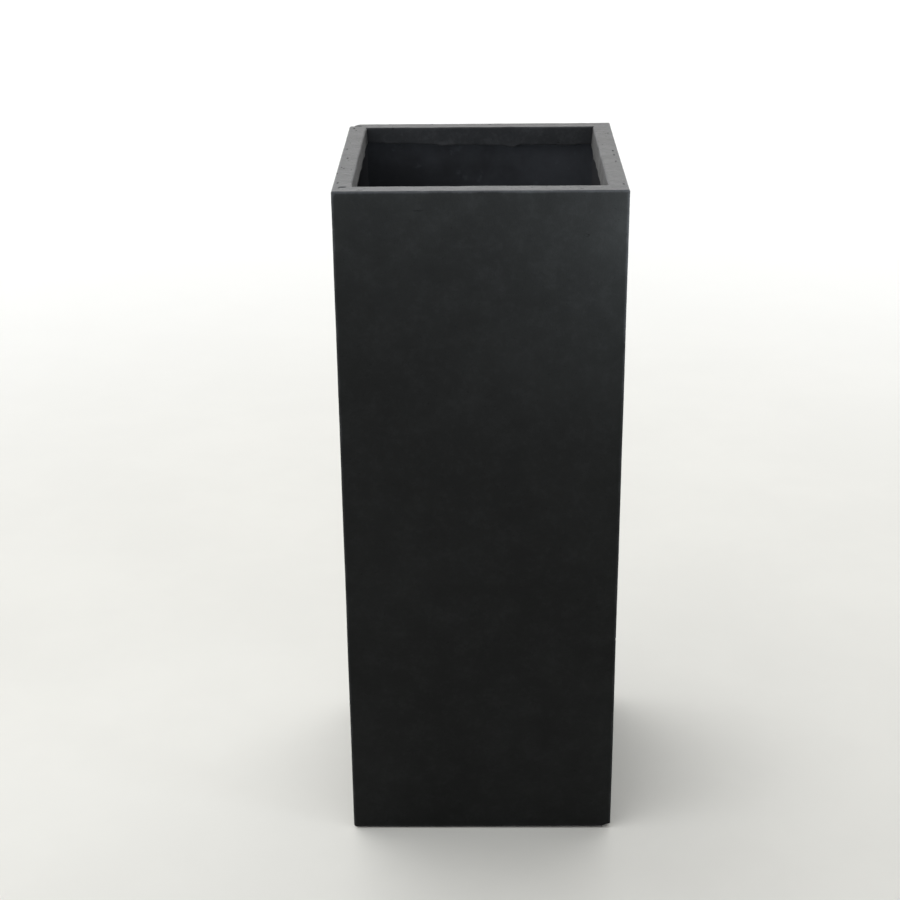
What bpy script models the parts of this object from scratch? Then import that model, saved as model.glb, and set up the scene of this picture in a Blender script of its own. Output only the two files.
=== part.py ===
"""Tall square planter box in dark fibre cement.

Four wall panels, mitred at the corners, are bonded round a raised base panel. Rim rails
are bonded inside the top of the walls, fillets of filler back up every inner joint, and
four rubber pads hold the box just off the ground. A rubber stopper lifts out of the drain.

Metres, +Z up. The origin is on the ground under the middle of the box, and the front
panel faces -Y.
"""

import math

import bmesh
import bpy
from mathutils import Matrix

# Whole box
WIDTH = 0.353  # outside, along X and along Y
HEIGHT = 0.900  # ground to rim
BOND = 0.0003  # bond line between neighbouring pieces

# Wall panels
WALL = 0.009  # thickness
WALL_FOOT = 0.0035  # height of the walls' lower edge above the ground
ARRIS = 0.0025  # radius of the outer edges
ARRIS_STEPS = 3

# Rim rails
RIM = 0.024  # width of the rim, from the outside of the wall
LIP = 0.026  # height of the rails
LIP_TOP_ARRIS = 0.002
LIP_FOOT_ARRIS = 0.001

# Base panel and its pads
BASE_FOOT = 0.018  # height of the base panel's underside
BASE = 0.010  # thickness
PAD = 0.040  # side of a pad
PAD_INSET = 0.012  # from the outside of the wall to the pad
PAD_ARRIS = 0.0015

# Fillets of filler along the inner joints
FILLET_LEG = 0.014
FILLET_EDGE = 0.0008  # thickness where a fillet dies into a panel

# Drain
DRAIN_HOLE = 0.0150  # radius of the hole through the base panel
SLEEVE_OUT = 0.0146  # outer radius of the bushing's sleeve
SLEEVE_IN = 0.0115  # inner radius of the bushing's sleeve
SLEEVE_DROP = 0.003  # how far the sleeve shows below the base panel
FLANGE = 0.025  # radius of the bushing's flange
FLANGE_DEEP = 0.003
STOPPER_TOP = 0.0112  # radius of the stopper's stem under its head
STOPPER_TIP = 0.0102  # radius of the stem's lower end
STOPPER_HEAD = 0.0185
STOPPER_HEAD_DEEP = 0.004
KNOB_NECK = 0.005
KNOB = 0.009
KNOB_RISE = 0.014  # height of the knob above the stopper's head
ROUND_STEPS = 32
SHARP_ANGLE = 40

# Levels and faces that follow from the sizes above
HALF = WIDTH / 2
INNER = HALF - WALL - BOND  # where pieces bonded inside the walls begin
MOUTH = HALF - RIM
BASE_TOP = BASE_FOOT + BASE
RAIL_FOOT = HEIGHT - LIP
SEAT = BASE_TOP + BOND + FLANGE_DEEP  # top of the bushing's flange
BEYOND = 0.05  # how far a cutter runs past what it cuts

SIDES = {"front": 0, "right": 90, "back": 180, "left": 270}
CORNERS = {"front_left": 0, "front_right": 90, "back_right": 180, "back_left": 270}

# Base colour, roughness
FINISHES = {
    "wall_finish": ((0.020, 0.021, 0.024), 0.60),
    "rim_finish": ((0.026, 0.027, 0.030), 0.55),
    "base_laminate": ((0.030, 0.031, 0.033), 0.80),
    "joint_filler": ((0.036, 0.037, 0.039), 0.85),
    "black_rubber": ((0.012, 0.012, 0.013), 0.85),
    "bushing_plastic": ((0.030, 0.031, 0.034), 0.45),
    "stopper_rubber": ((0.016, 0.016, 0.017), 0.75),
}

# A section drawn in X and Y, stood up so that it runs along X with its Y pointing up
ALONG_X = Matrix(((0, 0, 1, 0), (1, 0, 0, 0), (0, 1, 0, 0), (0, 0, 0, 1)))


def turn(degrees):
    return Matrix.Rotation(math.radians(degrees), 4, "Z")


def clear_scene():
    for obj in list(bpy.data.objects):
        bpy.data.objects.remove(obj, do_unlink=True)


def make_collection(name):
    collection = bpy.data.collections.new(name)
    bpy.context.scene.collection.children.link(collection)
    return collection


def make_finish(name):
    colour, roughness = FINISHES[name]
    finish = bpy.data.materials.new(name)
    finish.use_nodes = True
    shader = finish.node_tree.nodes["Principled BSDF"]
    shader.inputs["Base Color"].default_value = (*colour, 1.0)
    shader.inputs["Roughness"].default_value = roughness
    shader.inputs["Metallic"].default_value = 0.0
    return finish


def make_object(name, mesh, collection, finish=None):
    obj = bpy.data.objects.new(name, mesh)
    if finish and not mesh.materials:
        mesh.materials.append(finish)
    collection.objects.link(obj)
    return obj


def block_mesh(name, low, high):
    """A box between two opposite corners."""
    bm = bmesh.new()
    bmesh.ops.create_cube(bm, size=1.0)
    size = [b - a for a, b in zip(low, high)]
    middle = [(a + b) / 2 for a, b in zip(low, high)]
    bmesh.ops.scale(bm, vec=size, verts=bm.verts)
    bmesh.ops.translate(bm, vec=middle, verts=bm.verts)
    mesh = bpy.data.meshes.new(name)
    bm.to_mesh(mesh)
    bm.free()
    return mesh


def evaluated_mesh(obj):
    """A new mesh of the object with its modifiers applied."""
    bpy.context.view_layer.update()
    depsgraph = bpy.context.evaluated_depsgraph_get()
    return bpy.data.meshes.new_from_object(obj.evaluated_get(depsgraph))


def slab_mesh(name, outline, thickness, place):
    """A flat outline given a thickness along Z about its own plane, then placed."""
    curve = bpy.data.curves.new(name, "CURVE")
    curve.dimensions = "2D"
    curve.fill_mode = "BOTH"
    curve.extrude = thickness / 2
    spline = curve.splines.new("POLY")
    spline.points.add(len(outline) - 1)
    for point, (x, y) in zip(spline.points, outline):
        point.co = (x, y, 0, 1)
    spline.use_cyclic_u = True
    guide = bpy.data.objects.new(name, curve)
    bpy.context.scene.collection.objects.link(guide)
    mesh = evaluated_mesh(guide)
    bpy.data.objects.remove(guide, do_unlink=True)

    bm = bmesh.new()
    bm.from_mesh(mesh)
    bmesh.ops.remove_doubles(bm, verts=bm.verts, dist=0.00001)
    bmesh.ops.transform(bm, matrix=place, verts=bm.verts)
    bmesh.ops.recalc_face_normals(bm, faces=bm.faces)
    bm.to_mesh(mesh)
    bm.free()
    return mesh


def make_cutter(name, mesh, cutters):
    cutter = make_object(name, mesh, cutters)
    cutter.hide_render = True
    cutter.display_type = "WIRE"
    return cutter


def add_cut(obj, cutter, operation):
    cut = obj.modifiers.new(cutter.name, "BOOLEAN")
    cut.object = cutter
    cut.operation = operation


def add_arris(obj, radius, steps):
    arris = obj.modifiers.new("arris", "BEVEL")
    arris.width = radius
    arris.segments = steps
    arris.limit_method = "NONE"


def arc(centre, radius, start, end, steps):
    """Points on an arc from one angle to another, in degrees, both ends included."""
    points = []
    for step in range(steps + 1):
        angle = math.radians(start + (end - start) * step / steps)
        points.append((centre[0] + radius * math.cos(angle),
                       centre[1] + radius * math.sin(angle)))
    return points


def fillet_outline():
    """A fillet with its square corner at the origin and its legs on +X and +Y."""
    return [(0, 0), (FILLET_LEG, 0), (FILLET_LEG, FILLET_EDGE),
            (FILLET_EDGE, FILLET_LEG), (0, FILLET_LEG)]


def rail_outline():
    """Across the front rail: Y from the wall inwards, and height."""
    foot = arc((-MOUTH - LIP_FOOT_ARRIS, RAIL_FOOT + LIP_FOOT_ARRIS), LIP_FOOT_ARRIS, -90, 0, 2)
    head = arc((-MOUTH - LIP_TOP_ARRIS, HEIGHT - LIP_TOP_ARRIS), LIP_TOP_ARRIS, 0, 90, 4)
    return [(-INNER, RAIL_FOOT), *foot, *head, (-INNER, HEIGHT)]


def mitre_outline():
    """Plan of one quarter of the box, between its diagonals, less half a bond line each."""
    back_off = BOND / math.sqrt(2)
    near = MOUTH - BEYOND
    far = HALF + BEYOND
    return [(-far + back_off, -far), (far - back_off, -far),
            (near - back_off, -near), (-near + back_off, -near)]


def make_turned(name, profile, collection, finish):
    """A profile of radius and height, turned about Z and shaded round."""
    outline = bpy.data.meshes.new(f"{name}_profile")
    points = [(radius, 0, height) for radius, height in profile]
    edges = [(i, i + 1) for i in range(len(points) - 1)]
    outline.from_pydata(points, edges, [])
    guide = make_object(f"{name}_profile", outline, collection)
    screw = guide.modifiers.new("turn", "SCREW")
    screw.axis = "Z"
    screw.angle = math.tau
    screw.steps = ROUND_STEPS
    screw.render_steps = ROUND_STEPS
    screw.use_merge_vertices = True
    screw.merge_threshold = 0.00001
    mesh = evaluated_mesh(guide)
    bpy.data.objects.remove(guide, do_unlink=True)
    mesh.shade_smooth()
    mesh.set_sharp_from_angle(angle=math.radians(SHARP_ANGLE))
    make_object(name, mesh, collection, finish)


def make_walls(parts, cutters, mitres):
    """Wall panels: one rounded block, hollowed and cut along the box's diagonals."""
    finish = make_finish("wall_finish")
    inside = HALF - WALL
    hollow = make_cutter("hollow", block_mesh("hollow", (-inside, -inside, -BEYOND),
                                              (inside, inside, HEIGHT + BEYOND)), cutters)
    mesh = block_mesh("wall", (-HALF, -HALF, WALL_FOOT), (HALF, HALF, HEIGHT))
    for side in SIDES:
        wall = make_object(f"{side}_wall", mesh, parts, finish)
        add_arris(wall, ARRIS, ARRIS_STEPS)
        add_cut(wall, hollow, "DIFFERENCE")
        add_cut(wall, mitres[side], "INTERSECT")


def make_rails(parts, mitres):
    """Rim rails, bonded inside the top of the walls and mitred at the corners."""
    finish = make_finish("rim_finish")
    for side, angle in SIDES.items():
        mesh = slab_mesh(f"{side}_rim_rail", rail_outline(), WIDTH, turn(angle) @ ALONG_X)
        rail = make_object(f"{side}_rim_rail", mesh, parts, finish)
        add_cut(rail, mitres[side], "INTERSECT")


def make_corner_fillets(parts):
    """Fillets up the inner corners, from the base panel to the rails."""
    finish = make_finish("joint_filler")
    foot = BASE_TOP + BOND
    head = RAIL_FOOT - BOND
    place = Matrix.Translation((-INNER, -INNER, (foot + head) / 2))
    for corner, angle in CORNERS.items():
        name = f"corner_fillet_{corner}"
        mesh = slab_mesh(name, fillet_outline(), head - foot, turn(angle) @ place)
        make_object(name, mesh, parts, finish)


def make_floor_fillets(parts):
    """Fillets along the foot of each wall, between the corner fillets."""
    finish = make_finish("joint_filler")
    length = 2 * (INNER - FILLET_LEG - BOND)
    place = Matrix.Translation((0, -INNER, BASE_TOP + BOND))
    for side, angle in SIDES.items():
        name = f"floor_fillet_{side}"
        mesh = slab_mesh(name, fillet_outline(), length, turn(angle) @ place @ ALONG_X)
        make_object(name, mesh, parts, finish)


def make_base(parts, cutters):
    """Base panel with its drain hole."""
    mesh = block_mesh("base_panel", (-INNER, -INNER, BASE_FOOT), (INNER, INNER, BASE_TOP))
    base = make_object("base_panel", mesh, parts, make_finish("base_laminate"))
    bm = bmesh.new()
    bmesh.ops.create_cone(bm, cap_ends=True, segments=ROUND_STEPS, radius1=DRAIN_HOLE,
                          radius2=DRAIN_HOLE, depth=BEYOND)
    bmesh.ops.translate(bm, vec=(0, 0, BASE_FOOT + BASE / 2), verts=bm.verts)
    hole_mesh = bpy.data.meshes.new("drain_hole")
    bm.to_mesh(hole_mesh)
    bm.free()
    add_cut(base, make_cutter("drain_hole", hole_mesh, cutters), "DIFFERENCE")


def make_pads(parts):
    """Rubber pads under the corners of the base panel, standing a little below the walls."""
    finish = make_finish("black_rubber")
    near = -HALF + PAD_INSET
    for corner, angle in CORNERS.items():
        name = f"foot_pad_{corner}"
        mesh = block_mesh(name, (near, near, 0), (near + PAD, near + PAD, BASE_FOOT - BOND))
        mesh.transform(turn(angle))
        add_arris(make_object(name, mesh, parts, finish), PAD_ARRIS, 2)


def make_drain(parts):
    """Flanged bushing in the base panel, and the stopper that seats in it."""
    foot = BASE_FOOT - SLEEVE_DROP
    under_flange = BASE_TOP + BOND
    outside = [(SLEEVE_IN, SEAT), (FLANGE - 0.001, SEAT), (FLANGE, SEAT - 0.001),
               (FLANGE, under_flange), (SLEEVE_OUT, under_flange), (SLEEVE_OUT, foot + 0.001),
               (SLEEVE_OUT - 0.001, foot)]
    bushing = [*outside, (SLEEVE_IN, foot), (SLEEVE_IN, SEAT)]
    make_turned("drain_bushing", bushing, parts, make_finish("bushing_plastic"))

    head_foot = SEAT + BOND
    head_top = head_foot + STOPPER_HEAD_DEEP
    knob_top = head_top + KNOB_RISE
    knob_foot = knob_top - 0.006
    stopper = [(0, knob_top), (KNOB - 0.002, knob_top), (KNOB, knob_top - 0.002),
               (KNOB, knob_foot + 0.001), (KNOB - 0.001, knob_foot), (KNOB_NECK, knob_foot),
               (KNOB_NECK, head_top), (STOPPER_HEAD - 0.0015, head_top),
               (STOPPER_HEAD, head_top - 0.0015), (STOPPER_HEAD, head_foot),
               (STOPPER_TOP, head_foot), (STOPPER_TIP, foot + 0.002),
               (STOPPER_TIP - 0.002, foot), (0, foot)]
    make_turned("drain_stopper", stopper, parts, make_finish("stopper_rubber"))


def main():
    clear_scene()
    parts = make_collection("planter_box")
    cutters = make_collection("cutters")
    mitres = {}
    for side, angle in SIDES.items():
        mesh = slab_mesh(f"mitre_{side}", mitre_outline(), 2 * HEIGHT + BEYOND, turn(angle))
        mitres[side] = make_cutter(f"mitre_{side}", mesh, cutters)
    make_walls(parts, cutters, mitres)
    make_rails(parts, mitres)
    make_corner_fillets(parts)
    make_floor_fillets(parts)
    make_base(parts, cutters)
    make_pads(parts)
    make_drain(parts)


main()
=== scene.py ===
"""Planter box: the finished look of a tall square planter in dark fibre cement.

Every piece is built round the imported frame, which gives its place and its size. Walls and
rim rails are sections carried along the sides of the box and mitred at the corners. Node
trees then give them the slight sway of hand-laid work, air holes and chopped strands.
"""

import math

import bmesh
import bpy
import numpy as np
from bpy.props import FloatProperty, FloatVectorProperty, IntProperty, PointerProperty
from mathutils import Matrix, Vector, noise


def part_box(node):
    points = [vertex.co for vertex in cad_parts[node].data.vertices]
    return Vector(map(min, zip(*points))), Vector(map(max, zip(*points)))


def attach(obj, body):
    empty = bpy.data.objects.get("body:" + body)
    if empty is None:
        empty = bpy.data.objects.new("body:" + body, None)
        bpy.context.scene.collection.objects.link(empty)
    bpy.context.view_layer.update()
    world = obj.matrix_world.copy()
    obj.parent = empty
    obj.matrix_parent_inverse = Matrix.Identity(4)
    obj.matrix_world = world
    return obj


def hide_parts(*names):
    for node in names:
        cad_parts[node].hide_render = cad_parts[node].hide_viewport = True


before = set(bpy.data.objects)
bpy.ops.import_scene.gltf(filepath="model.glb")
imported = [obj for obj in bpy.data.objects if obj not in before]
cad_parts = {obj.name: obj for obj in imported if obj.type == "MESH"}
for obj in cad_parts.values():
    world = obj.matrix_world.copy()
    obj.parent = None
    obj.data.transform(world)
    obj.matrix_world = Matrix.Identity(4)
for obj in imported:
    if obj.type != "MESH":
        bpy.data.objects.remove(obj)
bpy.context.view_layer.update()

bl_info = {
    "name": "Planter Box",
    "version": (1, 0, 0),
    "blender": (4, 5, 0),
    "location": "View3D > Sidebar > Planter",
    "description": "Builds a tall square planter box in dark fibre cement",
    "category": "Add Mesh",
}

# Levels and faces, from the frame
WALL_LOW, WALL_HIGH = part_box("front_wall")
RAIL_LOW, RAIL_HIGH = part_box("front_rim_rail")
BASE_LOW, BASE_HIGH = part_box("base_panel")
FILLET_LOW, FILLET_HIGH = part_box("corner_fillet_front_left")
PAD_LOW, PAD_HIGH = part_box("foot_pad_front_left")
BUSH_LOW, BUSH_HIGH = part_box("drain_bushing")
STOPPER_LOW, STOPPER_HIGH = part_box("drain_stopper")

HALF = -WALL_LOW.y
HEIGHT = WALL_HIGH.z
WALL = WALL_HIGH.y - WALL_LOW.y
WALL_FOOT = WALL_LOW.z
INSIDE = HALF - WALL  # middle of the box to a wall's inner face
MOUTH = -RAIL_HIGH.y  # middle of the box to a rail's inner face
RIM = HALF - MOUTH
RAIL_FOOT = RAIL_LOW.z
BASE_FOOT = BASE_LOW.z
BASE_TOP = BASE_HIGH.z
FILLET_LEG = FILLET_HIGH.x - FILLET_LOW.x

SIDES = {"front": 0, "right": 90, "back": 180, "left": 270}
CORNERS = {"front_left": 0, "front_right": 90, "back_right": 180, "back_left": 270}

# How each rail was trimmed by hand: depth of its lip at its deepest, where that is along
# the rail, how fast it rises away from there, per metre, how far its foot leans into the
# mouth, and how far its mouth edge lies out of line
LIPS = {
    "front": (0.0258, -0.02, 0.12, 0.0005, 0.0),
    "right": (0.0278, 0.04, 0.08, 0.0016, 0.0),
    "back": (0.0243, -0.09, 0.07, 0.0006, 0.0),
    "left": (0.0256, 0.05, 0.10, 0.0006, -0.0013),
}
# Filler squeezed out below a rail: its place along the rail, half its width and its drop
BEADS = {
    "back": ((0.048, 0.016, 0.0018), (-0.043, 0.011, 0.0026), (-0.115, 0.013, 0.0007)),
    "right": ((-0.06, 0.018, 0.0008),),
}

SHARP = math.radians(35)  # edges sharper than this are shaded sharp
DRAIN_HOLE = 0.015  # radius of the hole in the base panel
VOLUME_SLACK = 0.08  # a piece whose volume changes by more than this share is broken
FLUSH = 1e-5  # closer than this, a point lies on a face


def turn(degrees):
    return Matrix.Rotation(math.radians(degrees), 4, "Z")


# ---------------------------------------------------------------- settings


def length(name, description, default, low=0.0):
    return FloatProperty(name=name, description=description, default=default, min=low,
                         unit="LENGTH")


def amount(name, description, default, low=0.0):
    return FloatProperty(name=name, description=description, default=default, min=low)


def share(name, description, default):
    return FloatProperty(name=name, description=description, default=default, min=0, max=1,
                         subtype="FACTOR")


def tint(name, description, default):
    return FloatVectorProperty(name=name, description=description, default=default, size=3,
                               min=0, max=1, subtype="COLOR")


class PlanterShape(bpy.types.PropertyGroup):
    arris: length("Outer arris", "Radius of the outer edges", 0.0018, 0.0005)
    rim_arris: length("Mouth arris", "Radius of the rim's inner edge", 0.0022, 0.0005)
    sway: length("Sway", "How far a face wanders from flat, over a hand's breadth", 0.0005)
    ripple: length("Ripple", "How far a face wanders over a finger's breadth", 0.00012)
    rim_ripple: length("Rim ripple", "The same, on the hand-trowelled rim", 0.0003)
    holes: amount("Air holes", "Air holes in a square metre of rim", 1500.0)
    hole_radius: length("Hole radius", "Radius of the largest air hole", 0.0009)
    strands: amount("Strands", "Glass strands in a square metre of bare laminate", 1800.0)
    strand: length("Strand length", "Length of a chopped glass strand", 0.045)
    seed: IntProperty(name="Seed", description="Seed of the air holes and strands", default=7)


class PlanterFinish(bpy.types.PropertyGroup):
    coat: tint("Coat", "Matte anthracite coat on the outside", (0.0086, 0.0093, 0.0092))
    # Painted highlight: the rim coat is about three times lighter than the wall coat, for the
    # light that the rim and lip catch at low angles. Its dust patches and rubbed edges come on top
    # in its finish.
    rim_coat: tint("Rim coat", "The coat on the rim and lip, greyed by handling and dust",
                   (0.026, 0.027, 0.029))
    coat_worn: tint("Worn coat", "The coat where it is rubbed thin", (0.060, 0.062, 0.066))
    laminate: tint("Laminate", "Bare laminate inside the box", (0.031, 0.033, 0.038))
    filler: tint("Filler", "Filler along the inner joints", (0.028, 0.029, 0.031))
    rubber: tint("Rubber", "Rubber of the pads and the stopper", (0.013, 0.013, 0.014))
    plastic: tint("Plastic", "Moulded plastic of the drain bushing", (0.022, 0.023, 0.025))
    coat_roughness: share("Coat roughness", "Roughness of the coat", 0.55)
    coat_gloss: share("Coat gloss", "Strength of the coat's reflections", 0.09)
    rim_roughness: share("Rim roughness", "Roughness of the rim, polished by handling", 0.54)
    rim_dust: share("Rim dust", "Strength of the dusty bloom that shows at low angles", 0.19)


class PlanterStage(bpy.types.PropertyGroup):
    floor: tint("Floor", "Colour of the floor", (0.80, 0.79, 0.745))
    lens: amount("Lens", "Focal length of the camera, in millimetres", 70.44, 1.0)
    behind: amount("Light behind", "Strength of the sky behind the box", 3.05)
    front: amount("Light in front", "Strength of the sky in front of the box", 0.17)
    left: amount("Light on the left", "Strength of the sky on the left", 1.6)
    right: amount("Light on the right", "Strength of the sky on the right", 0.1)
    above: amount("Light above", "Strength of the sky overhead", 0.81)
    side_light: amount("Side light", "Watts of the soft light by the right corner", 1.35)
    front_light: amount("Front light", "Watts of the soft light before the rim", 0.74)


# ---------------------------------------------------------------- node maths


class Wire:
    """A node's output that takes Python's operators, adding the nodes they stand for."""

    def __init__(self, tree, socket=None):
        self.tree = tree
        self.socket = socket

    def node(self, kind, settings=None, inputs=None, output=0):
        """Adds a node: its settings first, then the values or links of its sockets."""
        added = self.tree.nodes.new(kind)
        for name, value in (settings or {}).items():
            setattr(added, name, value)
        for key, value in (inputs or {}).items():
            if isinstance(value, Wire):
                self.tree.links.new(value.socket, added.inputs[key])
            else:
                added.inputs[key].default_value = value
        return Wire(self.tree, None if output is None else added.outputs[output])

    def out(self, name):
        """Another output of the same node."""
        return Wire(self.tree, self.socket.node.outputs[name])

    def maths(self, operation, first, second):
        return self.node("ShaderNodeMath", {"operation": operation}, {0: first, 1: second})

    def vector(self, operation, first, second):
        return self.node("ShaderNodeVectorMath", {"operation": operation}, {0: first, 1: second})

    def __add__(self, other):
        return self.maths("ADD", self, other)

    __radd__ = __add__

    def __sub__(self, other):
        return self.maths("SUBTRACT", self, other)

    def __rsub__(self, other):
        return self.maths("SUBTRACT", other, self)

    def __mul__(self, other):
        return self.maths("MULTIPLY", self, other)

    __rmul__ = __mul__

    def above(self, low, high):
        """0 below low, 1 above high, and a smooth rise between them."""
        return self.node("ShaderNodeMapRange", {"interpolation_type": "SMOOTHSTEP"},
                         {"Value": self, "From Min": low, "From Max": high})

    def noise(self, vector, scale, detail=2.0, roughness=0.5, output=0):
        return self.node("ShaderNodeTexNoise", None,
                         {"Vector": vector, "Scale": scale, "Detail": detail,
                          "Roughness": roughness}, output)

    def blend(self, amount, first, second):
        """A colour between two others."""
        return self.node("ShaderNodeMix", {"data_type": "RGBA"},
                         {"Factor": amount, 6: first, 7: second}, 2)


def colour(rgb):
    return (*rgb, 1.0)


# ---------------------------------------------------------------- finishes


def new_finish(name):
    """An empty material, with the wires that every finish starts from."""
    finish = bpy.data.materials.new(name)
    finish.use_nodes = True
    tree = finish.node_tree
    shader = tree.nodes["Principled BSDF"]
    start = Wire(tree)
    place = start.node("ShaderNodeTexCoord").out("Object")
    return finish, start, place, shader


def finish_off(start, shader, base, roughness, height, depth, specular):
    """Joins colour, roughness and surface relief to the shader."""
    tree = start.tree
    bump = start.node("ShaderNodeBump", None, {"Height": height, "Distance": depth})
    tree.links.new(base.socket, shader.inputs["Base Color"])
    tree.links.new(roughness.socket, shader.inputs["Roughness"])
    tree.links.new(bump.socket, shader.inputs["Normal"])
    shader.inputs["Specular IOR Level"].default_value = specular


def coat_finish(name, settings, coat, roughness, pitting, rub, dust, bloom):
    """Matte coat over trowelled fibre cement: cloudy, with pits dented and painted dark as painted
    shade, and rubbed thin at the arrises.
    """
    finish, start, place, shader = new_finish(name)
    clouds = start.noise(place, 5.0, 3.0, 0.55)
    patches = start.noise(place, 28.0, 4.0, 0.6)
    mottle = start.noise(place, 150.0, 4.0, 0.62)
    grain = start.noise(place, 480.0, 3.0, 0.65)
    # Pits: dented in the relief and painted dark, as painted shade in them.
    pits_painted_dark = start.noise(place, 210.0, 2.0, 0.5).above(0.66, 0.74)
    wear = start.node("ShaderNodeAttribute", {"attribute_name": "wear"}, output="Fac")
    rubbed = (wear * (patches + grain * 0.5)).above(0.35, 0.95) * rub
    dusty = (mottle * 0.6 + patches * 0.4).above(0.46, 0.66) * dust
    dark = colour(c * 0.82 for c in coat)
    light = colour(c * 1.18 for c in coat)
    base = start.blend((clouds * 0.5 + patches * 0.3 + grain * 0.2).above(0.36, 0.64), dark, light)
    base = start.blend(rubbed + dusty, base, colour(settings.coat_worn))
    # Painted shade: the pits are painted dark.
    base = start.blend(pits_painted_dark * pitting, base, colour(c * 0.35 for c in coat))
    rough = roughness + (clouds - 0.5) * 0.08 + (mottle - 0.5) * 0.26 * pitting + pits_painted_dark * 0.15
    relief = grain * 0.3 + mottle * 0.6 + patches * 0.5 - pits_painted_dark * pitting * 0.8
    finish_off(start, shader, base, rough, relief, 0.0003 + pitting * 0.0002, settings.coat_gloss)
    shader.inputs["Sheen Weight"].default_value = bloom
    shader.inputs["Sheen Roughness"].default_value = 0.4
    shader.inputs["Sheen Tint"].default_value = (1.0, 0.97, 0.93, 1.0)
    return finish


def laminate_finish(settings):
    """Bare laminate inside the box: resin over glass mat, dusty and uneven."""
    finish, start, place, shader = new_finish("bare_laminate")
    blotches = start.noise(place, 9.0, 5.0, 0.6)
    lie = start.node("ShaderNodeMapping", None, {"Vector": place, "Scale": (1.0, 1.0, 0.25)})
    weave = start.noise(lie, 160.0, 4.0, 0.7)
    pores = start.node("ShaderNodeTexVoronoi", {"feature": "F1"}, {"Vector": place, "Scale": 95.0})
    dust = start.noise(place, 55.0, 3.0, 0.6).above(0.60, 0.78)
    dark = colour(c * 0.65 for c in settings.laminate)
    light = colour(c * 1.45 for c in settings.laminate)
    base = start.blend(blotches.above(0.35, 0.68), dark, light)
    base = start.blend(dust * 0.25, base, colour(c * 4 for c in settings.laminate))
    rough = 0.72 + (blotches - 0.5) * 0.25
    relief = weave * 0.6 + pores * 0.3
    finish_off(start, shader, base, rough, relief, 0.0006, 0.3)
    return finish


def filler_finish(settings):
    """Filler smoothed with a thumb: streaked along its length, with pinholes dented and painted
    dark as painted shade.
    """
    finish, start, place, shader = new_finish("joint_filler")
    smears = start.noise(place, 34.0, 4.0, 0.6)
    pinholes_painted_dark = start.noise(place, 260.0, 1.0).above(0.68, 0.74)
    dark = colour(c * 0.7 for c in settings.filler)
    light = colour(c * 1.35 for c in settings.filler)
    base = start.blend(smears.above(0.35, 0.65), dark, light)
    # Painted shade: the pinholes are painted dark.
    base = start.blend(pinholes_painted_dark * 0.8, base, colour(c * 0.3 for c in settings.filler))
    rough = 0.66 + (smears - 0.5) * 0.2
    finish_off(start, shader, base, rough, smears * 0.6 - pinholes_painted_dark * 0.5, 0.0005, 0.3)
    return finish


def rubber_finish(settings):
    """Moulded rubber with a dusty bloom."""
    finish, start, place, shader = new_finish("moulded_rubber")
    bloom = start.noise(place, 60.0, 4.0, 0.6)
    texture = start.noise(place, 900.0, 2.0)
    base = start.blend(bloom.above(0.45, 0.75) * 0.5, colour(settings.rubber),
                       colour(c * 3.0 for c in settings.rubber))
    rough = 0.72 + (bloom - 0.5) * 0.2
    finish_off(start, shader, base, rough, texture, 0.0001, 0.4)
    return finish


def plastic_finish(settings):
    """Spark-textured moulded plastic, dulled by water."""
    finish, start, place, shader = new_finish("moulded_plastic")
    stains = start.noise(place, 80.0, 4.0, 0.6)
    texture = start.noise(place, 1400.0, 1.0)
    base = start.blend(stains.above(0.4, 0.75) * 0.6, colour(settings.plastic),
                       colour(c * 2.2 for c in settings.plastic))
    rough = 0.46 + (stains - 0.5) * 0.3
    finish_off(start, shader, base, rough, texture, 0.00006, 0.5)
    return finish


def finish_named(name):
    """A finish of this planter, made when it is first asked for."""
    if name in bpy.data.materials:
        return bpy.data.materials[name]
    settings = bpy.context.scene.planter_finish
    if name == "wall_coat":
        return coat_finish(name, settings, settings.coat, settings.coat_roughness,
                           0.25, 0.5, 0.04, 0.0)
    # The rim's copy of the coat is lighter than the wall's: painted highlight.
    if name == "rim_coat":
        return coat_finish(name, settings, settings.rim_coat, settings.rim_roughness,
                           0.8, 0.3, 0.32, settings.rim_dust)
    makers = {"bare_laminate": laminate_finish, "joint_filler": filler_finish,
              "moulded_rubber": rubber_finish, "moulded_plastic": plastic_finish}
    return makers[name](settings)


# ---------------------------------------------------------------- mesh making


def arc(centre, radius, start, end, steps):
    """Points on an arc from one angle to another, in degrees, both ends included."""
    angles = np.radians(np.linspace(start, end, steps + 1))
    return [(centre[0] + radius * math.cos(a), centre[1] + radius * math.sin(a)) for a in angles]


def spread(start, end, pitch):
    """Evenly spaced values between two ends, leaving the ends out."""
    steps = max(round(abs(end - start) / pitch), 1)
    return list(np.linspace(start, end, steps + 1)[1:-1])


def mitred_grid(section, pitch, arris=0.0, arc_steps=0):
    """A grid of points for a bar along the front of the box, cut at the box's diagonals.

    The section is a loop of distances from the outside of the box and heights. Each row
    follows one of its points from the left mitre to the right one, and turns through half
    of the upright arris at both ends.
    """
    across = np.linspace(-1, 1, round(2 * HALF / pitch) + 1)
    angles = np.radians(np.linspace(0, 45, arc_steps + 1)[1:])
    rows = []
    for offset, height in section:
        reach = HALF - max(offset, arris)
        spare = max(arris - offset, 0.0)
        bend = [(reach + spare * math.sin(a), -reach - spare * math.cos(a)) for a in angles]
        flat = [(reach * t, -reach - spare) for t in across]
        plan = [(-x, y) for x, y in reversed(bend)] + flat + bend
        rows.append([(x, y, height) for x, y in plan])
    return np.array(rows)


def straight_grid(section, start, end, pitch):
    """A grid of points for a bar of one section (Y and Z), running along X."""
    stations = [start, *spread(start, end, pitch), end]
    return np.array([[(x, y, z) for x in stations] for y, z in section])


def mesh_from_bm(name, bm):
    mesh = bpy.data.meshes.new(name)
    bm.to_mesh(mesh)
    bm.free()
    return mesh


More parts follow.
